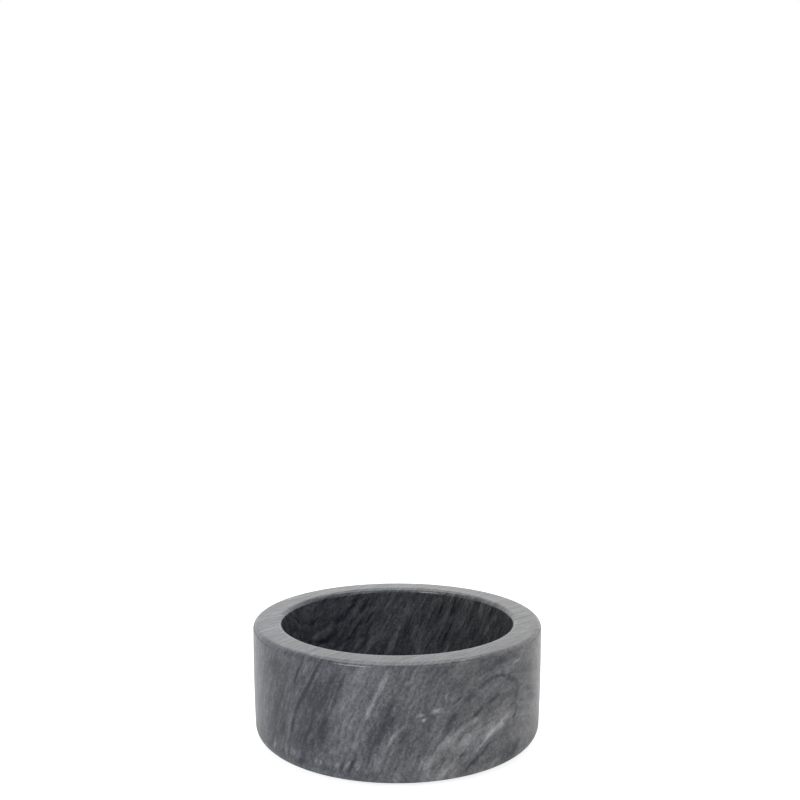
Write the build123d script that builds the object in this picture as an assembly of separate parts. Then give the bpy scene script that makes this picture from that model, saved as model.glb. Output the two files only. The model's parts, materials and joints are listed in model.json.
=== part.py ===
"""Wine bottle coaster: a shallow cup turned from one block of grey marble, on four stick-on rubber pads.

The stone stands on its pads, and a film of adhesive holds each pad to the underside.
A bottle stands in the well, which is wider than the bottle, so it lifts out straight up.
Millimetres, +Z up. The origin is on the table, under the middle of the coaster.
"""

import os

from build123d import *

# Stone: the block and its well
OUTSIDE_DIAMETER = 127.0
OVERALL_HEIGHT = 50.8
WALL_THICKNESS = 12.7
FLOOR_THICKNESS = 9.5

# Stone: a straight band below the rim, then one long arc that draws the wall in towards the foot
RIM_BAND_HEIGHT = 7.4
FOOT_DRAW_IN = 1.0

# Stone: the edges, rounded on the lathe, and the corner of the well, which the boring tool leaves bevelled
RIM_OUTER_ROUND = 2.2
RIM_INNER_ROUND = 2.1
FOOT_ROUND = 5.2
WELL_CORNER_BEVEL = 1.6

# Pads: round discs punched from sheet rubber with a film of adhesive on one face
PAD_COUNT = 4
PAD_DIAMETER = 13.0
PAD_THICKNESS = 1.2
ADHESIVE_THICKNESS = 0.2
PAD_INSET = 6.0
FIRST_PAD_ANGLE = 45.0

outside_radius = OUTSIDE_DIAMETER / 2
well_radius = outside_radius - WALL_THICKNESS
foot_radius = outside_radius - FOOT_DRAW_IN
pad_radius = PAD_DIAMETER / 2
underside_z = PAD_THICKNESS + ADHESIVE_THICKNESS
floor_z = underside_z + FLOOR_THICKNESS
band_z = OVERALL_HEIGHT - RIM_BAND_HEIGHT
pad_circle_radius = foot_radius - FOOT_ROUND - PAD_INSET - pad_radius


def corner_of(section, radius, height):
    """The corner of a half section nearest to a radius and a height."""
    return section.vertices().sort_by_distance((radius, 0, height))[0]


def stone_section():
    """Half section of the stone, in the XZ plane from the Z axis outwards."""
    foot = (foot_radius, underside_z)
    band = (outside_radius, band_z)
    rim_outer = (outside_radius, OVERALL_HEIGHT)
    rim_inner = (well_radius, OVERALL_HEIGHT)
    well_corner = (well_radius, floor_z)
    with BuildSketch(Plane.XZ) as sharp:
        with BuildLine():
            TangentArc(band, foot, tangent=(0, -1))
            Polyline(foot, (0, underside_z), (0, floor_z), well_corner, rim_inner, rim_outer, band)
        make_face()
    section = fillet(corner_of(sharp.sketch, *foot), FOOT_ROUND)
    section = fillet(corner_of(section, *rim_outer), RIM_OUTER_ROUND)
    section = fillet(corner_of(section, *rim_inner), RIM_INNER_ROUND)
    return chamfer(corner_of(section, *well_corner), WELL_CORNER_BEVEL)


def disc(thickness, lower_z):
    """One punched disc of a pad, centred on the Z axis, with its lower face at a height."""
    return Pos(Z=lower_z) * extrude(Circle(pad_radius), thickness)


def main():
    os.makedirs("parts", exist_ok=True)
    export_step(revolve(stone_section(), Axis.Z), "parts/stone_body.step")
    pad = disc(PAD_THICKNESS, 0)
    film = disc(ADHESIVE_THICKNESS, PAD_THICKNESS)
    places = PolarLocations(pad_circle_radius, PAD_COUNT, start_angle=FIRST_PAD_ANGLE)
    for number, place in enumerate(places, start=1):
        export_step(place * pad, f"parts/foot_pad_{number}.step")
        export_step(place * film, f"parts/adhesive_film_{number}.step")


main()
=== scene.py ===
"""Wine bottle coaster: a cup of grey marble on rubber pads, dressed on its CAD frame.

Four operators make the stone, its pads, their adhesive and the studio round them.
Lengths are in metres. +Z is up, and the origin is on the table under the middle of the coaster.
"""

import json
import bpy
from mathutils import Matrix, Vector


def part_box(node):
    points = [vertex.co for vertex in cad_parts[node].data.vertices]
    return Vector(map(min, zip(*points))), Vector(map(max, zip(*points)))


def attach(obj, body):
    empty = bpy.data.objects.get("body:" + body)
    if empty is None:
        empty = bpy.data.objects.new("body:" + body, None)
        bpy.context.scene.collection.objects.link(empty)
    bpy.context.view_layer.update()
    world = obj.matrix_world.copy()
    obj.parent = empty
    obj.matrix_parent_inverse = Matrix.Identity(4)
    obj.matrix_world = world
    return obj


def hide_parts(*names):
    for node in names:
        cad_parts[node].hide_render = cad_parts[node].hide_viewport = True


bl_info = {
    "name": "Marble bottle coaster",
    "version": (1, 0, 0),
    "blender": (4, 5, 0),
    "location": "3D View > Sidebar > Coaster",
    "description": "Builds a marble bottle coaster on rubber pads, in a small white studio",
    "category": "Object",
}

from math import atan2, cos, radians, sin, sqrt

import bpy
from bpy.props import FloatProperty, FloatVectorProperty, IntProperty, PointerProperty
from mathutils import Matrix, Vector

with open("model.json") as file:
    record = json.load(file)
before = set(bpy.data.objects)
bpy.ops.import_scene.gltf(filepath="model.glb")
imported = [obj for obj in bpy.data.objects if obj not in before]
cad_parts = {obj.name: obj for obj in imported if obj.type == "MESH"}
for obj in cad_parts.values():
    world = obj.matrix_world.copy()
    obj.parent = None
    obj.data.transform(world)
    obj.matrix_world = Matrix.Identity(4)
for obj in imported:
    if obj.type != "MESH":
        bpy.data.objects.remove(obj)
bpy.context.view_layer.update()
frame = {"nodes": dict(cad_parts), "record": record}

MM = 0.001

# Places and sizes that the CAD model gives
MOUNTS = {mount["name"]: mount for mount in frame["record"]["mounts"]}
STONE_LOW, STONE_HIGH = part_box("stone_body")
PAD_LOW, PAD_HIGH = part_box("foot_pad_1")
FILM_LOW, FILM_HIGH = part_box("adhesive_film_1")
OUTSIDE_RADIUS = min(STONE_HIGH.x, STONE_HIGH.y)
WELL_RADIUS = MOUNTS["bottle_well"]["dims"]["r_mm"] * MM
FLOOR_Z = MOUNTS["bottle_seat"]["pos_m"][2]
STONE_HEIGHT = STONE_HIGH.z - STONE_LOW.z
PAD_MIDDLE = (PAD_LOW + PAD_HIGH) / 2
PAD_RADIUS = (PAD_HIGH.x - PAD_LOW.x) / 2
PAD_NODES = [node for node in frame["nodes"] if node.startswith("foot_pad")]
FILM_NODES = [node for node in frame["nodes"] if node.startswith("adhesive_film")]

# Section of the stone, as the CAD model has it: a straight band at the rim, drawn in to a rounded foot
BAND_HEIGHT = 7.4 * MM
FOOT_DRAW_IN = 1.0 * MM
FOOT_ROUND = 5.2 * MM
RIM_OUTER_ROUND = 2.2 * MM
RIM_INNER_ROUND = 2.1 * MM
WELL_BEVEL = 1.6 * MM

# Pads and films: the rounding of their edges, and how far a film stays inside its pad
PAD_EDGE_ROUND = 0.2 * MM
FILM_EDGE_ROUND = 0.05 * MM
FILM_INSET = 0.15 * MM

# Meshes: gap between rings, faces round a piece, points on a rounding, gap at which points are joined
RING_SPACING = 1.3 * MM
STONE_SEGMENTS = 288
STONE_ROUND_COUNT = 12
DISC_SEGMENTS = 72
DISC_ROUND_COUNT = 4
JOIN_GAP = 0.01 * MM

# Camera: its place, its turn from looking straight down, and its lens, as the photograph was taken
CAMERA_PLACE = (0, -0.45719, 0.18229)
CAMERA_TURN = (radians(85.692), 0, radians(-0.154))
CAMERA_LENS = 47.16
CAMERA_SENSOR = 36.0
CAMERA_NEAR = 0.01

# Studio: the floor, the lamps, and where the sky changes from the room to the backdrop
WHITE = (1, 1, 1, 1)
FLOOR_SIZE = 8.0
FLOOR_ROUGHNESS = 0.9
FLOOR_DROP = 0.02 * MM
LAMP_AIM = (0, 0, 0.03)
KEY_PLACE = (-0.62, -0.95, 0.60)
KEY_SIZE = 0.44
FILL_PLACE = (0.75, -0.85, 0.55)
FILL_SIZE = 0.90
TOP_PLACE = (0, 0.05, 1.20)
TOP_SIZE = 1.20
ROOM_FROM_Y = -0.2
ROOM_TO_Y = 0.5

# Beds: the stone's layers lie in steep planes
BED_DIP = radians(66.6)
BED_TREND = radians(141.1)

# Texture of the beds: thickness, length and strength of the layers, from broad bands to single lines
LAYERS = (
    (14 * MM, 60 * MM, 0.06),
    (4.5 * MM, 24 * MM, 0.13),
    (1.8 * MM, 11 * MM, 0.23),
    (0.9 * MM, 2.8 * MM, 0.21),
)

# Bends: how far the beds and the edges of markings wander, and over what length
BEND_SWING = 5 * MM
BEND_SIZE = 45 * MM
RIPPLE_SWING = 1.1 * MM
RIPPLE_SIZE = 6 * MM
FRAY_SWING = 0.7 * MM
FRAY_SIZE = 1.6 * MM

# Markings: how they break up along the beds, how thin one may show, its blur, and its depth in millimetres
BREAK_THICKNESS = 2.0 * MM
BREAK_LENGTH = 8 * MM
BREAK_SPREAD = 2.6
LEAST_SHOWN = 0.2
SOFT_EDGE = 1.15
VEIN_DEPTH = 14

# Surface: fine grain, the beds' relief, bright specks, and the stone's refraction
GRAIN_SIZE = 0.9 * MM
GRAIN_TONE = 0.20
GRAIN_DEPTH = 0.03 * MM
GRAIN_BUMP = 0.5
GRAIN_GLOSS = 0.15
BED_RELIEF = 0.7 * MM
PATCH_SHARE = 0.05
SPECK_SPACING = 1.1 * MM
SPECK_SIZE = 0.22 * MM
SPECK_SHARE = 0.08
SPECK_TONE = 0.14
MARBLE_IOR = 1.58

# Noise: the level it swings about, and its detail in broad waves and in what has thin lines
NOISE_MIDDLE = 0.5
PLAIN_DETAIL = 1.0
FINE_DETAIL = 2.0

# Colour: the stone is warmer towards one side and where it is paler, and bluest in its darkest veins
WARM_FROM_X = -15 * MM
WARM_TO_X = 35 * MM
SIDE_WARMTH = 0.70
EYE_GAMMA = 2.2
DEEP_LIGHTNESS = 0.13
COOL_LIGHTNESS = 0.24
WARM_LIGHTNESS = 0.34
PALE_WARMTH = 0.62

# Wisps and veins away from the front, where no marking is listed
WISP_THICKNESS = 2.6 * MM
WISP_LENGTH = 17 * MM
VEIN_THICKNESS = 1.5 * MM
VEIN_LENGTH = 15 * MM
WISP_TONE = 0.09
VEIN_TONE = -0.10
WISP_RANGE = (0.56, 0.72)
WISP_SHIFT = (0, 0, 0)
VEIN_SHIFT = (3.7, 8.1, 5.3)
BACK_FROM_Y = -40 * MM
BACK_TO_Y = -8 * MM

# Turned flats: the underside as it left the grinder, and the floor of the well
GROOVE_SPACING = 0.45 * MM
GROOVE_TONE = 0.10
GROOVE_DEPTH = 0.02 * MM
FLAT_MARGIN = 0.5 * MM
GROUND_LIFT = 0.06
GROUND_ROUGHNESS = 0.35
FLOOR_SHARE = 0.35

# Rubber and adhesive: size of the grain, how much it shows, and its depth
RUBBER_GRAIN = (0.5 * MM, 0.5, 0.05 * MM)
FILM_GRAIN = (1.5 * MM, 0.2, 0.02 * MM)

# Hand finish: the slow waves that honing leaves in the surface
WAVE_SIZE = 14 * MM
WAVE_DEPTH = 0.03 * MM


def wall_radius(height):
    """Radius of the outer wall at a height above the foot."""
    band = STONE_HEIGHT - BAND_HEIGHT
    down = max(0, band - height) / band
    below_round = min(FOOT_ROUND, max(0, FOOT_ROUND - height))
    rounded_off = FOOT_ROUND - sqrt(FOOT_ROUND ** 2 - below_round ** 2)
    return OUTSIDE_RADIUS - FOOT_DRAW_IN * down ** 2 - rounded_off


def on_wall(angle, height):
    """The place on the outer wall at an angle in degrees and a height in millimetres above the foot."""
    turn = radians(angle)
    out = Vector((sin(turn), -cos(turn), 0)) * wall_radius(height * MM)
    return out + Vector((0, 0, STONE_LOW.z + height * MM))


class Marking:
    """One vein, wisp or broad zone of the marble's tone, or a patch of painted light, as a flat lens that
    comes out on the wall between two places.

    A place is an angle in degrees round the wall from the front, to the right, and a height above
    the foot in millimetres. A positive tone is paler than the ground and a negative one darker.
    The lens lies in the beds, or cuts through them if it would come out on the wall too thin to see.
    """

    def __init__(self, angle, height, end_angle, end_height, width, tone, depth=VEIN_DEPTH):
        along = on_wall(end_angle, end_height) - on_wall(angle, height)
        self.middle = on_wall((angle + end_angle) / 2, (height + end_height) / 2)
        outward = Vector((self.middle.x, self.middle.y, 0)).normalized()
        beds = Vector((sin(BED_DIP) * cos(BED_TREND), sin(BED_DIP) * sin(BED_TREND), cos(BED_DIP)))
        run = along.normalized()
        sideways = outward.cross(run).normalized()
        across = (beds - run * beds.dot(run)).normalized()
        if abs(across.dot(sideways)) < LEAST_SHOWN:
            across = sideways
        inward = across.cross(run)
        self.turn = Matrix((run, inward, across)).transposed().to_euler()
        shown = abs(across.dot(sideways))
        self.half_size = (along.length / 2, depth * MM, width * MM * shown * SOFT_EDGE / 2)
        self.tone = tone


# Markings, each with its numbers in the order that Marking takes them
ZONES = (
    (-21, 55, -41, 0, 21, -0.11, 25),
    (-46, 50, -60, 0, 24, -0.075, 25),
    (-13, 52, -24, 2, 17, 0.07, 25),
    (4, 9, 20, 1, 16, 0.10, 20),
    (12, 5, 50, 28, 15, 0.085, 20),
    (51, 22, 64, 10, 12, 0.04, 20),
    (2, 44, 24, 50, 13, -0.05, 20),
    (18, 36, 30, 43, 8, -0.05, 20),
    (-48, 46, -57, 35, 9, -0.07, 20),
    (-34, 28, -41.5, 5, 11, -0.055, 20),
    (38, 8, 54, 4, 9, -0.025, 20),
    (6, 36, 17, 20, 12, -0.03, 20),
    (-2, 4, 12, 14, 10, 0.05, 20),
    (10, 4, 23, 20, 12, 0.04, 20),
    (-59, 52, -70, 35, 12, 0.04, 20),
    (44, 44, 64, 34, 12, -0.05, 20),
    (-2, 53, -15, 38, 13, 0.05, 20),
    # Painted light: the next three zones lie low along the foot and lighten it, as light thrown up from the
    # white floor would.
    (2, 3, 36, 5, 8, 0.045, 20),
    (4, 5, 26, 9, 9, 0.04, 20),
    (-54, 3, -8, 2, 5, 0.03, 20),
    (16, 44, 40, 43, 7, -0.045, 20),
    (-27, 20, -34, 8, 9, -0.035, 20),
    (-46, 45, -54, 40, 7, -0.04, 20),
    # Painted light: this low zone at the foot lightens it, as light thrown up from the floor would.
    (-6, 2, 6, 6, 6, 0.05, 20),
)

DARK_VEINS = (
    (-26.4, 52, -37.4, 29.5, 1.7, -0.23),
    (-32.8, 39.5, -41.8, 22, 2.1, -0.21),
    (-40, 24.5, -43.2, 13.5, 2.6, -0.17),
    (-41.5, 17, -45, 8, 3.6, -0.08),
    (-43.3, 11.5, -45, 4, 2.0, -0.14),
    (-36.6, 46.5, -41.6, 34, 1.9, -0.22),
    (-17.5, 48.5, -25.5, 25, 2.6, -0.13),
    (-22, 46, -26, 36, 3.6, -0.07),
    (-24.5, 33, -29, 14, 6.0, -0.07),
    (-29.5, 27.5, -38.5, 8.5, 2.6, -0.13),
    (-31, 18, -35.5, 7.5, 3.6, -0.06),
    (-45.4, 21, -49.6, 10.5, 2.6, -0.13),
    (-44.4, 18, -47.6, 8, 1.8, -0.08),
    (-34, 7, -42, 3, 4.0, -0.07),
    (-18.3, 12.5, -21.7, 2, 1.8, -0.12),
    (-14.4, 15, -18.2, 2, 2.1, -0.14),
    (-11.5, 30, -18, 16, 1.8, -0.06),
    (0.8, 40, -6.8, 18.5, 9.6, -0.13),
    (-13, 31, -16, 22.5, 3.4, -0.06),
    (-14.4, 33.4, -18.2, 21.6, 1.5, -0.08),
    (-12.2, 25.4, -16.2, 13.6, 1.5, -0.08),
    (3.4, 26.4, 6.6, 36, 1.4, -0.07),
    (-16.5, 37, -19.5, 29.5, 3.6, -0.05),
    (-3.6, 28, -11, 12, 6.6, -0.12),
    (-8, 20, -12, 6, 3.6, -0.09),
    (4.6, 24.4, -1.8, 14.5, 2.0, -0.08),
    (22.6, 29.6, 16.4, 23, 3.0, -0.18),
    (21.2, 25.6, 14.4, 19.6, 3.0, -0.10),
    (13.6, 4, 19.4, 15.6, 1.4, -0.11),
    (20.8, 8, 26.2, 13, 2.0, -0.17),
    (21.3, 16.6, 25.8, 20.6, 1.4, -0.08),
    (22.6, 2, 36, 13.4, 1.9, -0.15),
    (31.5, 9.6, 37.4, 14.6, 2.5, -0.13),
    (24, 17.4, 44, 26, 1.6, -0.08),
    (29, 15, 38, 20.6, 1.5, -0.06),
    (27, 8.6, 39, 17.6, 1.6, -0.09),
    (22, 9.8, 28, 16, 1.6, -0.09),
    (7.4, 3.6, 11.6, 16, 1.5, -0.08),
    (2.2, 3.4, 6.4, 15.4, 1.5, -0.07),
    (17, 0.8, 21.4, 7.6, 1.5, -0.10),
    (51, 27.6, 56.4, 25.4, 1.8, -0.12),
    (24.6, 24.2, 36, 30.8, 2.0, -0.17),
    (33, 29.6, 42, 32.6, 2.3, -0.15),
    (39, 32, 45.5, 30.6, 2.2, -0.08),
    (19.4, 31.5, 24.4, 35.8, 1.6, -0.11),
    (23.6, 31, 30.4, 37.2, 3.6, -0.09),
    (29, 36.6, 38.6, 40.7, 2.7, -0.23),
    (35, 40.2, 47.6, 39.6, 2.3, -0.16),
    (41.4, 39.6, 49.6, 35, 3.0, -0.18),
    (44, 37.6, 52.6, 34, 2.6, -0.13),
    (49.8, 38, 50.4, 25, 4.6, -0.15, 8),
    (49.8, 33, 56, 32, 2.1, -0.12),
    (53.8, 31.8, 65, 26.6, 3.0, -0.24),
    (55, 27.2, 71, 22.3, 3.0, -0.17),
    (45, 26.2, 50.6, 25.8, 1.7, -0.18, 6),
    (50.4, 26.5, 49.3, 20, 2.2, -0.16, 6),
    (50.6, 22, 46.8, 20.6, 1.9, -0.17, 6),
    (51.4, 19.4, 58.4, 18.2, 1.4, -0.07),
    (55, 18.9, 65, 14.6, 2.0, -0.09),
    (46.6, 4.6, 54.2, 10.6, 4.0, -0.20),
    (40, 3.4, 53, 2.6, 4.0, -0.14),
    (27, 44.4, 58, 47.6, 4.0, -0.09),
)

PALE_VEINS = (
    (-0.8, 51.6, -9.4, 32.4, 3.2, 0.16),
    (-5.4, 41, -13.4, 23.5, 3.4, 0.15),
    (-11, 29.5, -17, 12, 3.0, 0.08),
    (-10, 51, -15.6, 39, 5.2, 0.065),
    (-20.5, 27, -25, 12, 3.2, 0.05),
    (-32, 48.5, -37, 39.5, 3.0, 0.08),
    (-52.4, 11.5, -54.2, 4.5, 3.4, 0.16, 6),
    (-45.4, 10.5, -46.9, 5, 2.8, 0.09, 6),
    (-40.4, 10.5, -43, 5.5, 4.6, 0.10, 6),
    (-30.3, 9, -31.7, 5.6, 2.2, 0.11, 5),
    (-28.5, 8.4, -29.5, 5.2, 1.9, 0.13, 5),
    (-24.3, 9.6, -26.2, 5.6, 3.4, 0.13, 5),
    (-21, 9.6, -22.8, 5.4, 2.8, 0.11, 5),
    (-22.2, 15, -24.8, 9.6, 3.2, 0.12, 6),
    (-17.1, 10.6, -18.9, 5.6, 2.8, 0.10, 6),
    (-12.2, 11.4, -14.8, 5.2, 4.2, 0.09, 6),
    (-5.6, 12.6, -9.2, 4, 5.0, 0.09),
    (6.2, 26.2, 0, 23.4, 2.1, 0.11, 6),
    (1.6, 25, -4.6, 15.6, 2.9, 0.18),
    (-2, 20, -6.2, 11.6, 2.6, 0.11),
    (5.2, 28.3, 10.6, 29.8, 2.0, 0.18, 5),
    (7.6, 26.7, 11, 27.8, 1.9, 0.21, 5),
    (10.6, 29, 16.8, 31.3, 2.4, 0.22, 5),
    (15.4, 28, 19.6, 30.2, 1.9, 0.11, 5),
    (17.9, 40.5, 16.8, 30.5, 2.4, 0.10, 6),
    (10.3, 5.6, 11.8, 2.2, 2.8, 0.13, 5),
    (6, 7.4, 15, 13, 6.0, 0.08),
    (13.6, 12.2, 24, 22.5, 7.0, 0.14),
    (13.6, 2.4, 20.6, 9.4, 4.6, 0.07),
    (18, 1.6, 25, 7, 4.0, 0.09),
    (12.4, 6.4, 21.2, 19.6, 2.2, 0.10),
    (20, 3.4, 29, 12.6, 2.0, 0.10),
    (29, 0.6, 41, 7.6, 2.6, 0.09),
    (21, 13.5, 34, 22, 5.0, 0.08),
    (23.4, 8, 36, 15.6, 3.4, 0.05),
    (29, 12.4, 50, 26.2, 3.2, 0.13),
    (36.4, 18.2, 49.2, 25.2, 3.6, 0.09),
    (17, 18.6, 37, 28, 3.6, 0.11),
    (33, 22, 48, 27.5, 3.4, 0.06),
    (27.6, 39.2, 35.6, 42.7, 2.3, 0.08),
    (28, 33, 38.6, 36.6, 4.6, 0.04),
    (40.6, 33, 48.6, 34, 2.8, 0.06, 6),
    (44.8, 41.2, 56, 47, 2.2, 0.16),
    (51, 23, 58.6, 16.6, 5.0, 0.05),
    (-58, 22, -59, 16.5, 3.0, 0.11, 6),
    (27, 1.6, 43, 9.6, 8.0, 0.06),
)


def a_length(name, description, default):
    """A setting that is a length."""
    return FloatProperty(name=name, description=description, default=default, unit="LENGTH")


def a_level(name, description, default, **kind):
    """A setting that is a level from 0 up, such as a roughness or a lamp's power."""
    return FloatProperty(name=name, description=description, default=default, min=0, **kind)


def a_colour(name, description, default):
    """A setting that is a colour."""
    return FloatVectorProperty(name=name, description=description, default=default, subtype="COLOR")


class CoasterStoneSettings(bpy.types.PropertyGroup):
    """The marble cup: its section, and the look of its stone."""

    band_height: a_length("Rim band", "Straight part of the wall below the rim", BAND_HEIGHT)
    foot_draw_in: a_length("Foot draw-in", "How far the wall comes in at the foot", FOOT_DRAW_IN)
    rim_outer_round: a_length("Outer rim rounding", "Radius of the rim's outer edge", RIM_OUTER_ROUND)
    rim_inner_round: a_length("Inner rim rounding", "Radius of the rim's inner edge", RIM_INNER_ROUND)
    foot_round: a_length("Foot rounding", "Radius of the edge at the foot", FOOT_ROUND)
    well_bevel: a_length("Well bevel", "Bevel between the well and its floor", WELL_BEVEL)
    ring_spacing: a_length("Ring spacing", "Greatest gap between the mesh's rings", RING_SPACING)
    segments: IntProperty(name="Segments", description="Faces round the cup", default=STONE_SEGMENTS)
    ground_tone: a_level("Ground tone", "Lightness of the stone between its veins", 0.296, max=1)
    cool_tint: a_colour("Cool tint", "Tint of the blue-grey beds", (0.82, 0.97, 1.175))
    warm_tint: a_colour("Warm tint", "Tint of the neutral beds", (0.975, 0.99, 1.04))
    deep_tint: a_colour("Deep tint", "Tint of the darkest veins", (0.70, 0.96, 1.46))
    sheen_tint: a_colour("Sheen tint", "Tint of what the honed face mirrors", (0.99, 0.98, 1.0))
    roughness: a_level("Roughness", "Roughness of the honed face", 0.20, max=1)


class CoasterPadSettings(bpy.types.PropertyGroup):
    """The rubber pads."""

    edge_round: a_length("Edge rounding", "Rounding that the punch leaves on a pad", PAD_EDGE_ROUND)
    rubber_colour: a_colour("Rubber", "Colour of the rubber", (0.03, 0.03, 0.032))
    rubber_roughness: a_level("Rubber roughness", "Roughness of the rubber", 0.75, max=1)


class CoasterFilmSettings(bpy.types.PropertyGroup):
    """The films of adhesive between the pads and the stone."""

    edge_round: a_length("Edge rounding", "Rounding of a film's cut edge", FILM_EDGE_ROUND)
    film_inset: a_length("Film inset", "How far the adhesive stays inside the pad", FILM_INSET)
    film_colour: a_colour("Adhesive", "Colour of the adhesive film", (0.55, 0.53, 0.47))
    film_roughness: a_level("Adhesive roughness", "Roughness of the adhesive", 0.5, max=1)


class CoasterStudioSettings(bpy.types.PropertyGroup):
    """The floor, the sky and the lamps."""

    key_power: a_level("Key lamp", "Power of the soft lamp in front on the left", 3.3, subtype="POWER")
    fill_power: a_level("Fill lamp", "Power of the soft lamp in front on the right", 1.9, subtype="POWER")
    top_power: a_level("Top lamp", "Power of the wide lamp overhead", 10.0, subtype="POWER")
    room_level: a_level("Room level", "How white gloss shows the room in front of the coaster", 0.6)
    backdrop_level: a_level("Backdrop level", "How white gloss shows the wall behind the coaster", 1.25)
    sky_level: a_level("Sky level", "Strength of the light from all sides", 0.38)
    floor_colour: a_colour("Floor", "Colour of the floor", (0.8, 0.8, 0.8))
    floor_lift: a_level("Floor lift", "White that the camera sees over the floor's shading", 0.77)
    floor_glow: a_level("Floor glow", "Light that the floor gives by itself, as a light table does", 0.7)
    gloss_lift: a_level("Floor lift in gloss", "White that gloss sees over the floor's shading", 0.03)


def feed(tree, socket, value):
    """Gives an input a link, if the value is another node's output, or else the plain value."""
    if isinstance(value, bpy.types.NodeSocket):
        tree.links.new(value, socket)
    else:
        socket.default_value = value


def add_node(tree, kind, inputs=None, **fields):
    """Adds a node to a tree, sets its fields, and feeds its inputs."""
    node = tree.nodes.new(kind)
    node.location.x = len(tree.nodes) * node.width
    for name, value in fields.items():
        setattr(node, name, value)
    for name, value in (inputs or {}).items():
        feed(tree, node.inputs[name], value)
    return node


def maths(tree, operation, *values, clamp=False):
    """The result of a Math node."""
    node = add_node(tree, "ShaderNodeMath", dict(enumerate(values)), operation=operation, use_clamp=clamp)
    return node.outputs[0]


def vector_maths(tree, operation, *values):
    """The result of a Vector Math node."""
    node = add_node(tree, "ShaderNodeVectorMath", dict(enumerate(values)), operation=operation)
    return node.outputs["Value" if operation in ("LENGTH", "DISTANCE") else "Vector"]


def parts_of(tree, vector):
    """The X, Y and Z of a vector."""
    return add_node(tree, "ShaderNodeSeparateXYZ", {"Vector": vector}).outputs


def vector_of(tree, x=0.0, y=0.0, z=0.0):
    """A vector from its X, Y and Z."""
    return add_node(tree, "ShaderNodeCombineXYZ", {"X": x, "Y": y, "Z": z}).outputs["Vector"]


def scaled(tree, vector, factor):
    """A vector times a number."""
    node = add_node(tree, "ShaderNodeVectorMath", {"Vector": vector, "Scale": factor}, operation="SCALE")
    return node.outputs["Vector"]


def mix_colour(tree, factor, first, second):
    """A colour between two others."""
    node = add_node(tree, "ShaderNodeMix", data_type="RGBA")
    sockets = {socket.identifier: socket for socket in (*node.inputs, *node.outputs)}
    for identifier, value in (("Factor_Float", factor), ("A_Color", first), ("B_Color", second)):
        feed(tree, sockets[identifier], value)
    return sockets["Result_Color"]


def ramp(tree, value, low=0.0, high=1.0, to_low=0.0, to_high=1.0, smooth=False):
    """A value that goes from one level to another, and no further, while another value rises."""
    node = add_node(
        tree, "ShaderNodeMapRange",
        {"Value": value, "From Min": low, "From Max": high, "To Min": to_low, "To Max": to_high},
        interpolation_type="SMOOTHSTEP" if smooth else "LINEAR",
    )
    return node.outputs["Result"]


def noise_of(tree, inputs, size=1.0, detail=PLAIN_DETAIL, **fields):
    """The outputs of a Noise Texture node whose waves have a size."""
    inputs |= {"Scale": maths(tree, "DIVIDE", 1.0, size), "Detail": detail}
    return add_node(tree, "ShaderNodeTexNoise", inputs, **fields).outputs


def new_group(name, kind, inputs, outputs):
    """A new node group with named sockets, and its input and output nodes."""
    group = bpy.data.node_groups.new(name, kind)
    for way, sockets in (("INPUT", inputs), ("OUTPUT", outputs)):
        for socket_name, socket_type in sockets.items():
            group.interface.new_socket(socket_name, in_out=way, socket_type="NodeSocket" + socket_type)
    source = add_node(group, "NodeGroupInput")
    sink = add_node(group, "NodeGroupOutput")
    return group, source.outputs, sink.inputs


def floats(*names):
    """Sockets of plain numbers, for a new group."""
    return {name: "Float" for name in names}


def shared(name, build):
    """The node group of a name, which a function builds if the file has none yet."""
    return bpy.data.node_groups.get(name) or build(name)


def use_group(tree, group, inputs):
    """Places a node group in a tree and returns its outputs."""
    kind = "ShaderNodeGroup" if tree.bl_idname == "ShaderNodeTree" else "GeometryNodeGroup"
    return add_node(tree, kind, inputs, node_tree=group).outputs


def revolve_group(name):
    """Geometry group: turns a section, drawn in X and Y with its axis on Y, into a solid of revolution."""
    group, source, sink = new_group(
        name, "GeometryNodeTree",
        {"Section": "Geometry", "Path Radius": "Float", "Segments": "Int"}, {"Mesh": "Geometry"},
    )
    path = add_node(
        group, "GeometryNodeCurvePrimitiveCircle",
        {"Resolution": source["Segments"], "Radius": source["Path Radius"]},
    )
    shift = vector_of(group, maths(group, "MULTIPLY", source["Path Radius"], -1.0))
    section = add_node(
        group, "GeometryNodeTransform",
        {"Geometry": source["Section"], "Translation": shift, "Scale": (1, -1, 1)},
    )
    swept = add_node(
        group, "GeometryNodeCurveToMesh",
        {"Curve": path.outputs["Curve"], "Profile Curve": section.outputs["Geometry"]},
    )
    merged = add_node(
        group, "GeometryNodeMergeByDistance", {"Geometry": swept.outputs["Mesh"], "Distance": JOIN_GAP}
    )
    group.links.new(merged.outputs["Geometry"], sink["Mesh"])
    return group


def turned_on_lathe(tree, section, radius, segments):
    """The solid that a section makes when it is turned, by way of a path of some radius."""
    sizes = {"Section": section, "Path Radius": radius, "Segments": segments}
    return use_group(tree, shared("Turn on the lathe", revolve_group), sizes)["Mesh"]


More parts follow.
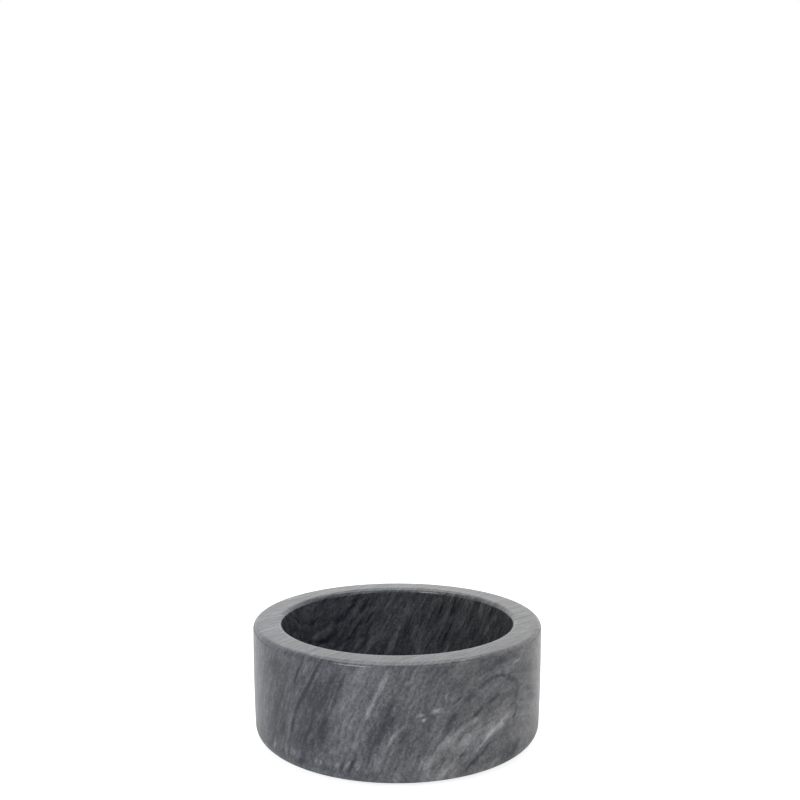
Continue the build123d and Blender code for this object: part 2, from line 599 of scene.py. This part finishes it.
def corner_section(tree, corners, rounds, count):
    """Curve through the corners of a section, each an (x, y) pair, with its edges rounded."""
    index = add_node(tree, "GeometryNodeInputIndex").outputs["Index"]
    line = add_node(tree, "GeometryNodeMeshLine", {"Count": len(corners)})
    places = add_node(tree, "GeometryNodeIndexSwitch", {"Index": index}, data_type="VECTOR")
    radii = add_node(tree, "GeometryNodeIndexSwitch", {"Index": index}, data_type="FLOAT")
    for switch in (places, radii):
        while len(switch.index_switch_items) < len(corners):
            switch.index_switch_items.new()
    for number, (corner, radius) in enumerate(zip(corners, rounds)):
        tree.links.new(vector_of(tree, *corner), places.inputs[number + 1])
        if isinstance(radius, bpy.types.NodeSocket):
            tree.links.new(radius, radii.inputs[number + 1])
    placed = add_node(
        tree, "GeometryNodeSetPosition",
        {"Geometry": line.outputs["Mesh"], "Position": places.outputs["Output"]},
    )
    curve = add_node(tree, "GeometryNodeMeshToCurve", {"Mesh": placed.outputs["Geometry"]})
    rounded = add_node(
        tree, "GeometryNodeFilletCurve",
        {"Curve": curve.outputs["Curve"], "Count": count, "Radius": radii.outputs["Output"]}, mode="POLY",
    )
    return rounded.outputs["Curve"]


def finer(tree, curve, spacing):
    """The curve with points added on its long runs, so that no two are further apart than a spacing."""
    here = add_node(tree, "GeometryNodeInputPosition").outputs["Position"]
    index = add_node(tree, "GeometryNodeInputIndex").outputs["Index"]
    following = add_node(
        tree, "GeometryNodeFieldAtIndex",
        {"Value": here, "Index": maths(tree, "ADD", index, 1.0)}, data_type="FLOAT_VECTOR",
    ).outputs["Value"]
    run = vector_maths(tree, "DISTANCE", here, following)
    cuts = maths(tree, "FLOOR", maths(tree, "DIVIDE", run, spacing))
    return add_node(tree, "GeometryNodeSubdivideCurve", {"Curve": curve, "Cuts": cuts}).outputs["Curve"]


def stone_tree(name):
    """Geometry tree of the cup: its section with rounded edges, a bowed wall, turned and honed by hand."""
    lengths = (
        "Outside Radius", "Well Radius", "Top", "Floor", "Underside", "Band Height", "Foot Draw-in",
        "Outer Round", "Inner Round", "Foot Round", "Well Bevel", "Ring Spacing", "Wave Size", "Wave Depth",
    )
    inputs = floats(*lengths) | {"Segments": "Int", "Round Count": "Int", "Material": "Material"}
    tree, size, sink = new_group(name, "GeometryNodeTree", inputs, {"Geometry": "Geometry"})
    outside, well, top, floor, underside = (size[length] for length in lengths[:5])
    bevel = size["Well Bevel"]
    band = maths(tree, "SUBTRACT", top, size["Band Height"])
    foot = maths(tree, "SUBTRACT", outside, size["Foot Draw-in"])
    corners = (
        (0.0, floor),
        (maths(tree, "SUBTRACT", well, bevel), floor),
        (well, maths(tree, "ADD", floor, bevel)),
        (well, top),
        (outside, top),
        (outside, band),
        (foot, underside),
        (0.0, underside),
    )
    rounds = (None, None, None, size["Inner Round"], size["Outer Round"], None, size["Foot Round"], None)
    curve = finer(tree, corner_section(tree, corners, rounds, size["Round Count"]), size["Ring Spacing"])

    place = parts_of(tree, add_node(tree, "GeometryNodeInputPosition").outputs["Position"])
    bowed_height = maths(tree, "SUBTRACT", band, underside)
    down = maths(tree, "DIVIDE", maths(tree, "SUBTRACT", band, place["Y"]), bowed_height, clamp=True)
    share = maths(tree, "MULTIPLY", down, maths(tree, "SUBTRACT", 1.0, down))
    bow = maths(tree, "MULTIPLY", share, size["Foot Draw-in"])
    middle_of_wall = maths(tree, "DIVIDE", maths(tree, "ADD", outside, well), 2.0)
    on_outside = maths(tree, "GREATER_THAN", place["X"], middle_of_wall)
    bowed = add_node(
        tree, "GeometryNodeSetPosition",
        {"Geometry": curve, "Offset": vector_of(tree, maths(tree, "MULTIPLY", bow, on_outside))},
    )
    turned = turned_on_lathe(tree, bowed.outputs["Geometry"], outside, size["Segments"])
    wave = noise_of(tree, {}, size["Wave Size"])["Fac"]
    depth = maths(tree, "MULTIPLY", wave, size["Wave Depth"])
    inward = scaled(tree, add_node(tree, "GeometryNodeInputNormal").outputs["Normal"], -1.0)
    honed = add_node(
        tree, "GeometryNodeSetPosition",
        {"Geometry": turned, "Offset": scaled(tree, inward, depth)},
    )
    finish_tree(tree, honed.outputs["Geometry"], size["Material"], sink["Geometry"])
    return tree


def finish_tree(tree, geometry, material, sink):
    """Ends a geometry tree: plain geometry, smooth faces and one material."""
    plain = add_node(tree, "GeometryNodeRealizeInstances", {"Geometry": geometry})
    smooth = add_node(tree, "GeometryNodeSetShadeSmooth", {"Geometry": plain.outputs["Geometry"]})
    dressed = add_node(
        tree, "GeometryNodeSetMaterial", {"Geometry": smooth.outputs["Geometry"], "Material": material}
    )
    tree.links.new(dressed.outputs["Geometry"], sink)


def disc_ring_tree(name):
    """Geometry tree of a ring of punched discs, each with its edges a little rounded."""
    inputs = floats("Ring Radius", "First Angle", "Disc Radius", "Lower Face", "Thickness", "Edge Round")
    inputs |= {"Discs": "Int", "Segments": "Int", "Round Count": "Int", "Material": "Material"}
    tree, size, sink = new_group(name, "GeometryNodeTree", inputs, {"Geometry": "Geometry"})
    radius, thickness = size["Disc Radius"], size["Thickness"]
    corners = ((0.0, thickness), (radius, thickness), (radius, 0.0), (0.0, 0.0))
    rounds = (None, size["Edge Round"], size["Edge Round"], None)
    section = corner_section(tree, corners, rounds, size["Round Count"])
    disc = turned_on_lathe(tree, section, radius, size["Segments"])
    ring = add_node(
        tree, "GeometryNodeMeshCircle", {"Vertices": size["Discs"], "Radius": size["Ring Radius"]}
    )
    turned = add_node(
        tree, "GeometryNodeTransform",
        {
            "Geometry": ring.outputs["Mesh"],
            "Translation": vector_of(tree, z=size["Lower Face"]),
            "Rotation": vector_of(tree, z=size["First Angle"]),
        },
    )
    discs = add_node(
        tree, "GeometryNodeInstanceOnPoints",
        {"Points": turned.outputs["Geometry"], "Instance": disc},
    )
    finish_tree(tree, discs.outputs["Instances"], size["Material"], sink["Geometry"])
    return tree


def grow(name, tree, values):
    """Runs a geometry tree with its sizes and returns the result as a plain mesh object."""
    piece = bpy.data.objects.new(name, bpy.data.meshes.new(name))
    bpy.context.scene.collection.objects.link(piece)
    modifier = piece.modifiers.new(name, "NODES")
    modifier.node_group = tree
    for socket in tree.interface.items_tree:
        if socket.in_out == "INPUT":
            modifier[socket.identifier] = values[socket.name]
    depsgraph = bpy.context.evaluated_depsgraph_get()
    mesh = bpy.data.meshes.new_from_object(piece.evaluated_get(depsgraph), depsgraph=depsgraph)
    if not mesh.polygons:
        raise RuntimeError(f"the tree of {name} made no faces")
    piece.modifiers.clear()
    piece.data = mesh
    return piece


def grow_discs(name, radius, low, high, edge_round, material):
    """Makes one disc over each pad, between two heights, all in one object."""
    return grow(name, shared("Ring of discs", disc_ring_tree), {
        "Ring Radius": PAD_MIDDLE.xy.length,
        "Discs": len(PAD_NODES),
        "First Angle": atan2(PAD_MIDDLE.y, PAD_MIDDLE.x),
        "Segments": DISC_SEGMENTS,
        "Round Count": DISC_ROUND_COUNT,
        "Disc Radius": radius,
        "Lower Face": low,
        "Thickness": high - low,
        "Edge Round": edge_round,
        "Material": material,
    })


def fit(piece, nodes):
    """Puts a piece on the frame in place of its CAD nodes."""
    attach(piece, "root")
    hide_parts(*nodes)


def wander_group(name):
    """Shader group: bends a coordinate by slow noise, so that nothing in the stone is ruled straight."""
    group, source, sink = new_group(
        name, "ShaderNodeTree",
        {"Vector": "Vector"} | floats("Swing", "Size"), {"Vector": "Vector"},
    )
    noise = noise_of(group, {"Vector": source["Vector"]}, source["Size"])["Color"]
    centred = vector_maths(group, "SUBTRACT", noise, (NOISE_MIDDLE,) * 3)
    moved = vector_maths(group, "ADD", source["Vector"], scaled(group, centred, source["Swing"]))
    group.links.new(moved, sink["Vector"])
    return group


def drawn_out_noise(group, source, detail=PLAIN_DETAIL, shift=(0, 0, 0)):
    """Noise that is drawn out along the beds, by the sizes that a group takes in."""
    along = maths(group, "DIVIDE", 1.0, source["Length"])
    across = maths(group, "DIVIDE", 1.0, source["Thickness"])
    stretched = vector_maths(group, "MULTIPLY", source["Beds"], vector_of(group, along, along, across))
    shifted = vector_maths(group, "ADD", stretched, shift)
    return noise_of(group, {"Vector": shifted}, detail=detail)["Fac"]


def layers_group(name):
    """Shader group: tone of layers of one thickness, drawn out along the beds."""
    group, source, sink = new_group(
        name, "ShaderNodeTree",
        {"Beds": "Vector"} | floats("Thickness", "Length", "Strength"), floats("Tone"),
    )
    centred = maths(group, "SUBTRACT", drawn_out_noise(group, source, FINE_DETAIL), NOISE_MIDDLE)
    group.links.new(maths(group, "MULTIPLY", centred, source["Strength"]), sink["Tone"])
    return group


def wisps_group(name):
    """Shader group: a mask of long streaks that lie in the beds, where a drawn-out noise is highest."""
    group, source, sink = new_group(
        name, "ShaderNodeTree",
        {"Beds": "Vector", "Shift": "Vector"} | floats("Thickness", "Length"), floats("Mask"),
    )
    noise = drawn_out_noise(group, source, shift=source["Shift"])
    group.links.new(ramp(group, noise, *WISP_RANGE, smooth=True), sink["Mask"])
    return group


def turning_group(name):
    """Shader group: the rings that a turning tool leaves on a flat face, about nought."""
    inputs = {"Vector": "Vector"} | floats("Spacing")
    group, source, sink = new_group(name, "ShaderNodeTree", inputs, floats("Tone"))
    place = parts_of(group, source["Vector"])
    radius = vector_maths(group, "LENGTH", vector_of(group, place["X"], place["Y"]))
    count = maths(group, "DIVIDE", radius, source["Spacing"])
    noise = noise_of(group, {"W": count}, detail=FINE_DETAIL, noise_dimensions="1D")["Fac"]
    group.links.new(maths(group, "SUBTRACT", noise, NOISE_MIDDLE), sink["Tone"])
    return group


def flats_group(name):
    """Shader group: masks of the two turned flats, the underside of the stone and the floor of its well."""
    group, source, sink = new_group(
        name, "ShaderNodeTree",
        {"Vector": "Vector"} | floats("Underside", "Floor", "Well Radius", "Margin"),
        floats("Underside", "Floor"),
    )
    place = parts_of(group, source["Vector"])
    radius = vector_maths(group, "LENGTH", vector_of(group, place["X"], place["Y"]))
    masks = []
    for level in ("Underside", "Floor"):
        above = maths(group, "SUBTRACT", place["Z"], source[level])
        share = maths(group, "DIVIDE", above, source["Margin"])
        masks.append(maths(group, "SUBTRACT", 1.0, share, clamp=True))
    base, low = masks
    inside = maths(group, "LESS_THAN", radius, source["Well Radius"])
    floor = maths(group, "MULTIPLY", maths(group, "SUBTRACT", low, base), inside)
    group.links.new(base, sink["Underside"])
    group.links.new(floor, sink["Floor"])
    return group


def grain_group(name):
    """Shader group: fine crystals, as a tone about nought, and the single bright ones, as a mask."""
    group, source, sink = new_group(
        name, "ShaderNodeTree",
        {"Vector": "Vector"} | floats("Grain", "Spacing", "Size", "Share"), floats("Tone", "Specks"),
    )
    noise = noise_of(group, {"Vector": source["Vector"]}, source["Grain"])["Fac"]
    group.links.new(maths(group, "SUBTRACT", noise, NOISE_MIDDLE), sink["Tone"])
    cells = add_node(
        group, "ShaderNodeTexVoronoi",
        {"Vector": source["Vector"], "Scale": maths(group, "DIVIDE", 1.0, source["Spacing"])},
    )
    chance = add_node(group, "ShaderNodeSeparateColor", {"Color": cells.outputs["Color"]}).outputs["Red"]
    chosen = maths(group, "LESS_THAN", chance, source["Share"])
    reach = maths(group, "DIVIDE", source["Size"], source["Spacing"])
    distance = maths(group, "DIVIDE", cells.outputs["Distance"], reach)
    near = maths(group, "SUBTRACT", 1.0, distance, clamp=True)
    group.links.new(maths(group, "MULTIPLY", near, chosen), sink["Specks"])
    return group


def marking_group(name):
    """Shader group: adds the tone of one lens-shaped marking to the lightness of the stone."""
    group, source, sink = new_group(
        name, "ShaderNodeTree",
        floats("Lightness", "Strength", "Tone")
        | {"Vector": "Vector", "Middle": "Vector", "Turn": "Vector", "Half Size": "Vector"},
        floats("Lightness"),
    )
    lens = add_node(
        group, "ShaderNodeMapping",
        {
            "Vector": source["Vector"], "Location": source["Middle"], "Rotation": source["Turn"],
            "Scale": source["Half Size"],
        },
        vector_type="TEXTURE",
    )
    depth = add_node(
        group, "ShaderNodeTexGradient", {"Vector": lens.outputs["Vector"]}, gradient_type="SPHERICAL"
    )
    mask = ramp(group, depth.outputs["Fac"], smooth=True)
    strength = maths(group, "MULTIPLY", mask, source["Strength"])
    tone = maths(group, "MULTIPLY", strength, source["Tone"])
    group.links.new(maths(group, "ADD", source["Lightness"], tone), sink["Lightness"])
    return group


def stone_colour_group(name):
    """Shader group: colour of the stone from its lightness as the eye sees it, bluer where it is darker."""
    group, source, sink = new_group(
        name, "ShaderNodeTree",
        floats("Lightness", "Warmth") | {"Cool": "Color", "Warm": "Color", "Deep": "Color"},
        {"Color": "Color"},
    )
    light = maths(group, "POWER", maths(group, "MAXIMUM", source["Lightness"], DEEP_LIGHTNESS), EYE_GAMMA)
    pale = ramp(group, source["Lightness"], COOL_LIGHTNESS, WARM_LIGHTNESS, to_high=PALE_WARMTH)
    warmth = maths(group, "ADD", source["Warmth"], pale, clamp=True)
    tint = mix_colour(group, warmth, source["Cool"], source["Warm"])
    shallow = ramp(group, source["Lightness"], DEEP_LIGHTNESS, COOL_LIGHTNESS)
    tint = mix_colour(group, shallow, source["Deep"], tint)
    group.links.new(scaled(group, tint, light), sink["Color"])
    return group


def crystals_of(tree, place, grain):
    """Fine grain of one size, and specks, at a place in a material."""
    return use_group(
        tree, shared("Crystals", grain_group),
        {
            "Vector": place, "Grain": grain, "Spacing": SPECK_SPACING, "Size": SPECK_SIZE,
            "Share": SPECK_SHARE,
        },
    )


def wandered(tree, place, swing, size):
    """A place in a material, bent by slow noise of one swing and size."""
    inputs = {"Vector": place, "Swing": swing, "Size": size}
    return use_group(tree, shared("Wander", wander_group), inputs)["Vector"]


def bumped(tree, height, distance, **inputs):
    """The surface's normal with a height laid over it."""
    inputs |= {"Height": height, "Distance": distance}
    return add_node(tree, "ShaderNodeBump", inputs).outputs["Normal"]


def new_material(name):
    """A new material with its Principled BSDF."""
    material = bpy.data.materials.new(name)
    material.use_nodes = True
    return material, material.node_tree, material.node_tree.nodes["Principled BSDF"]


def veined_stone(tree, place, ground_tone):
    """Lightness of the layered and veined stone with some painted light along the foot, the relief of its
    beds, and the bent place they follow.
    """
    rippled = wandered(tree, place, RIPPLE_SWING, RIPPLE_SIZE)
    frayed = wandered(tree, rippled, FRAY_SWING, FRAY_SIZE)
    bent = wandered(tree, rippled, BEND_SWING, BEND_SIZE)
    beds = add_node(
        tree, "ShaderNodeMapping", {"Vector": bent, "Rotation": (0, BED_DIP, BED_TREND)},
        vector_type="TEXTURE",
    ).outputs["Vector"]
    layers = shared("Layers", layers_group)
    lightness = ground_tone
    for thickness, length, strength in LAYERS:
        broad_beds = lightness
        sizes = {"Beds": beds, "Thickness": thickness, "Length": length, "Strength": strength}
        lightness = maths(tree, "ADD", lightness, use_group(tree, layers, sizes)["Tone"])

    back = ramp(tree, parts_of(tree, place)["Y"], BACK_FROM_Y, BACK_TO_Y, smooth=True)
    for thickness, length, tone, shift in (
        (WISP_THICKNESS, WISP_LENGTH, WISP_TONE, WISP_SHIFT),
        (VEIN_THICKNESS, VEIN_LENGTH, VEIN_TONE, VEIN_SHIFT),
    ):
        sizes = {"Beds": beds, "Shift": shift, "Thickness": thickness, "Length": length}
        streaks = use_group(tree, shared("Wisps", wisps_group), sizes)
        shown = maths(tree, "MULTIPLY", streaks["Mask"], back)
        lightness = maths(tree, "MULTIPLY_ADD", shown, tone, lightness)

    sizes = {
        "Beds": beds, "Thickness": BREAK_THICKNESS, "Length": BREAK_LENGTH, "Strength": BREAK_SPREAD,
    }
    breaks = use_group(tree, layers, sizes)["Tone"]
    strength = maths(tree, "ADD", breaks, 1.0)
    for row in ZONES + DARK_VEINS + PALE_VEINS:
        marking = Marking(*row)
        lightness = use_group(
            tree, shared("Marking", marking_group),
            {
                "Lightness": lightness, "Vector": frayed, "Strength": strength, "Middle": marking.middle,
                "Turn": marking.turn, "Half Size": marking.half_size, "Tone": marking.tone,
            },
        )["Lightness"]
    return lightness, maths(tree, "MULTIPLY_ADD", breaks, PATCH_SHARE, broad_beds), bent


def ringed_flats(tree, place):
    """Mask of the underside, mask of both turned flats, and the rings that they show."""
    flats = use_group(
        tree, shared("Turned flats", flats_group),
        {
            "Vector": place, "Underside": STONE_LOW.z, "Floor": FLOOR_Z, "Well Radius": WELL_RADIUS,
            "Margin": FLAT_MARGIN,
        },
    )
    turning = shared("Turning marks", turning_group)
    rings = use_group(tree, turning, {"Vector": place, "Spacing": GROOVE_SPACING})["Tone"]
    turned = maths(tree, "MULTIPLY_ADD", flats["Floor"], FLOOR_SHARE, flats["Underside"])
    return flats["Underside"], turned, maths(tree, "MULTIPLY", rings, turned)


def marble_material(look):
    """Honed grey marble: layered beds, veins and wisps, fine crystals, a soft sheen, and turned flats."""
    material, tree, shader = new_material("Honed grey marble")
    place = add_node(tree, "ShaderNodeTexCoord").outputs["Object"]
    lightness, relief, bent = veined_stone(tree, place, look.ground_tone)
    crystals = crystals_of(tree, place, GRAIN_SIZE)
    underside, turned, rings = ringed_flats(tree, place)
    for effect, tone in (
        (crystals["Tone"], GRAIN_TONE),
        (crystals["Specks"], SPECK_TONE),
        (rings, GROOVE_TONE),
        (underside, GROUND_LIFT),
    ):
        lightness = maths(tree, "MULTIPLY_ADD", effect, tone, lightness)
    warmth = ramp(tree, parts_of(tree, bent)["X"], WARM_FROM_X, WARM_TO_X, to_high=SIDE_WARMTH, smooth=True)
    colour = use_group(
        tree, shared("Stone colour", stone_colour_group),
        {
            "Lightness": lightness, "Warmth": warmth, "Cool": (*look.cool_tint, 1),
            "Warm": (*look.warm_tint, 1), "Deep": (*look.deep_tint, 1),
        },
    )["Color"]
    tree.links.new(colour, shader.inputs["Base Color"])
    rough = maths(tree, "MULTIPLY_ADD", crystals["Tone"], GRAIN_GLOSS, look.roughness)
    rough = maths(tree, "MULTIPLY_ADD", turned, GROUND_ROUGHNESS, rough)
    tree.links.new(rough, shader.inputs["Roughness"])
    shader.inputs["IOR"].default_value = MARBLE_IOR
    shader.inputs["Specular Tint"].default_value = (*look.sheen_tint, 1)
    normal = bumped(tree, crystals["Tone"], GRAIN_DEPTH, Strength=GRAIN_BUMP)
    normal = bumped(tree, relief, BED_RELIEF, Normal=normal)
    normal = bumped(tree, rings, GROOVE_DEPTH, Normal=normal)
    tree.links.new(normal, shader.inputs["Normal"])
    return material


def speckled_material(name, colour, roughness, size, spread, depth):
    """A dull even material, such as sheet rubber, with fine grain in its tone, gloss and surface."""
    material, tree, shader = new_material(name)
    crystals = crystals_of(tree, add_node(tree, "ShaderNodeTexCoord").outputs["Object"], size)
    tone = maths(tree, "MULTIPLY_ADD", crystals["Tone"], spread, 1.0)
    tone = maths(tree, "MULTIPLY_ADD", crystals["Specks"], spread, tone)
    tree.links.new(scaled(tree, tuple(colour), tone), shader.inputs["Base Color"])
    rough = maths(tree, "MULTIPLY_ADD", crystals["Tone"], spread / 2, roughness)
    tree.links.new(rough, shader.inputs["Roughness"])
    tree.links.new(bumped(tree, crystals["Tone"], depth), shader.inputs["Normal"])
    return material


def background_level(tree, seen, mirrored, otherwise):
    """One level for rays from the camera, one for those by way of gloss or glass, and one for the rest."""
    rays = add_node(tree, "ShaderNodeLightPath").outputs
    by_way = maths(tree, "MAXIMUM", rays["Is Glossy Ray"], rays["Is Transmission Ray"])
    level = otherwise
    for share, wanted in ((by_way, mirrored), (rays["Is Camera Ray"], seen)):
        level = maths(tree, "MULTIPLY_ADD", share, maths(tree, "SUBTRACT", wanted, otherwise), level)
    return level


def add_lamp(name, place, size, power):
    """A square soft lamp that faces the coaster."""
    light = bpy.data.lights.new(name, "AREA")
    light.energy = power
    light.size = size
    lamp = bpy.data.objects.new(name, light)
    lamp.location = place
    lamp.rotation_euler = (Vector(place) - Vector(LAMP_AIM)).to_track_quat("Z", "Y").to_euler()
    bpy.context.scene.collection.objects.link(lamp)


class COASTER_OT_stone(bpy.types.Operator):
    """Make the marble cup in place of the plain CAD stone"""

    bl_idname = "coaster.stone"
    bl_label = "Marble cup"

    def execute(self, context):
        look = context.scene.coaster_stone
        values = {
            "Outside Radius": OUTSIDE_RADIUS,
            "Well Radius": WELL_RADIUS,
            "Top": STONE_HIGH.z,
            "Floor": FLOOR_Z,
            "Underside": STONE_LOW.z,
            "Band Height": look.band_height,
            "Foot Draw-in": look.foot_draw_in,
            "Outer Round": look.rim_outer_round,
            "Inner Round": look.rim_inner_round,
            "Foot Round": look.foot_round,
            "Well Bevel": look.well_bevel,
            "Ring Spacing": look.ring_spacing,
            "Wave Size": WAVE_SIZE,
            "Wave Depth": WAVE_DEPTH,
            "Segments": look.segments,
            "Round Count": STONE_ROUND_COUNT,
            "Material": marble_material(look),
        }
        cup = grow("marble_cup", shared("Turned cup", stone_tree), values)
        fit(cup, ["stone_body"])
        return {"FINISHED"}


class COASTER_OT_pads(bpy.types.Operator):
    """Make the rubber pads in place of the plain CAD pads"""

    bl_idname = "coaster.pads"
    bl_label = "Rubber pads"

    def execute(self, context):
        look = context.scene.coaster_pads
        rubber = speckled_material("Sheet rubber", look.rubber_colour, look.rubber_roughness, *RUBBER_GRAIN)
        pads = grow_discs("rubber_pads", PAD_RADIUS, PAD_LOW.z, PAD_HIGH.z, look.edge_round, rubber)
        fit(pads, PAD_NODES)
        return {"FINISHED"}


class COASTER_OT_films(bpy.types.Operator):
    """Make the adhesive films that hold the pads to the stone"""

    bl_idname = "coaster.films"
    bl_label = "Adhesive films"

    def execute(self, context):
        look = context.scene.coaster_films
        adhesive = speckled_material("Adhesive film", look.film_colour, look.film_roughness, *FILM_GRAIN)
        radius = PAD_RADIUS - look.film_inset
        films = grow_discs("adhesive_films", radius, FILM_LOW.z, FILM_HIGH.z, look.edge_round, adhesive)
        fit(films, FILM_NODES)
        return {"FINISHED"}


class COASTER_OT_studio(bpy.types.Operator):
    """Make the white floor, the sky, the lamps and the camera"""

    bl_idname = "coaster.studio"
    bl_label = "Studio"

    def execute(self, context):
        look = context.scene.coaster_studio
        scene = context.scene
        scene.view_settings.view_transform = "Standard"

        material, tree, shader = new_material("Studio floor")
        shader.inputs["Base Color"].default_value = (*look.floor_colour, 1)
        shader.inputs["Roughness"].default_value = FLOOR_ROUGHNESS
        shader.inputs["Specular IOR Level"].default_value = 0.0
        shader.inputs["Emission Color"].default_value = WHITE
        lift = background_level(tree, look.floor_lift, look.gloss_lift, look.floor_glow)
        tree.links.new(lift, shader.inputs["Emission Strength"])
        half = FLOOR_SIZE / 2
        square = ((-half, -half), (half, -half), (half, half), (-half, half))
        mesh = bpy.data.meshes.new("studio_floor")
        mesh.from_pydata([(x, y, -FLOOR_DROP) for x, y in square], [], [(0, 1, 2, 3)])
        mesh.materials.append(material)
        floor = bpy.data.objects.new("studio_floor", mesh)
        scene.collection.objects.link(floor)

        world = bpy.data.worlds.new("Studio sky")
        world.use_nodes = True
        scene.world = world
        sky = world.node_tree
        towards = parts_of(sky, add_node(sky, "ShaderNodeTexCoord").outputs["Generated"])
        levels = (look.room_level, look.backdrop_level)
        backdrop = ramp(sky, towards["Y"], ROOM_FROM_Y, ROOM_TO_Y, *levels, smooth=True)
        level = background_level(sky, 1.0, backdrop, look.sky_level)
        sky.links.new(level, sky.nodes["Background"].inputs["Strength"])
        sky.nodes["Background"].inputs["Color"].default_value = WHITE

        add_lamp("Key lamp", KEY_PLACE, KEY_SIZE, look.key_power)
        add_lamp("Fill lamp", FILL_PLACE, FILL_SIZE, look.fill_power)
        add_lamp("Top lamp", TOP_PLACE, TOP_SIZE, look.top_power)

        view = bpy.data.cameras.new("Camera")
        view.lens = CAMERA_LENS
        view.sensor_width = CAMERA_SENSOR
        view.clip_start = CAMERA_NEAR
        camera = bpy.data.objects.new("Camera", view)
        camera.location = CAMERA_PLACE
        camera.rotation_euler = CAMERA_TURN
        scene.collection.objects.link(camera)
        scene.camera = camera
        return {"FINISHED"}


class COASTER_PT_panel(bpy.types.Panel):
    """The coaster's pieces and their settings"""

    bl_idname = "COASTER_PT_panel"
    bl_label = "Marble bottle coaster"
    bl_space_type = "VIEW_3D"
    bl_region_type = "UI"
    bl_category = "Coaster"

    def draw(self, context):
        for name, (settings, operator) in PIECES.items():
            box = self.layout.box()
            box.operator(operator.bl_idname)
            for field in settings.__annotations__:
                box.prop(getattr(context.scene, name), field)


# The settings and the operator of each group of pieces, by the settings' name in the scene
PIECES = {
    "coaster_stone": (CoasterStoneSettings, COASTER_OT_stone),
    "coaster_pads": (CoasterPadSettings, COASTER_OT_pads),
    "coaster_films": (CoasterFilmSettings, COASTER_OT_films),
    "coaster_studio": (CoasterStudioSettings, COASTER_OT_studio),
}


def register():
    for name, (settings, operator) in PIECES.items():
        bpy.utils.register_class(settings)
        bpy.utils.register_class(operator)
        setattr(bpy.types.Scene, name, PointerProperty(type=settings))
    bpy.utils.register_class(COASTER_PT_panel)


def unregister():
    bpy.utils.unregister_class(COASTER_PT_panel)
    for name, (settings, operator) in PIECES.items():
        delattr(bpy.types.Scene, name)
        bpy.utils.unregister_class(operator)
        bpy.utils.unregister_class(settings)


def main():
    register()
    bpy.ops.coaster.stone()
    bpy.ops.coaster.pads()
    bpy.ops.coaster.films()
    bpy.ops.coaster.studio()


if __name__ == "__main__":
    main()
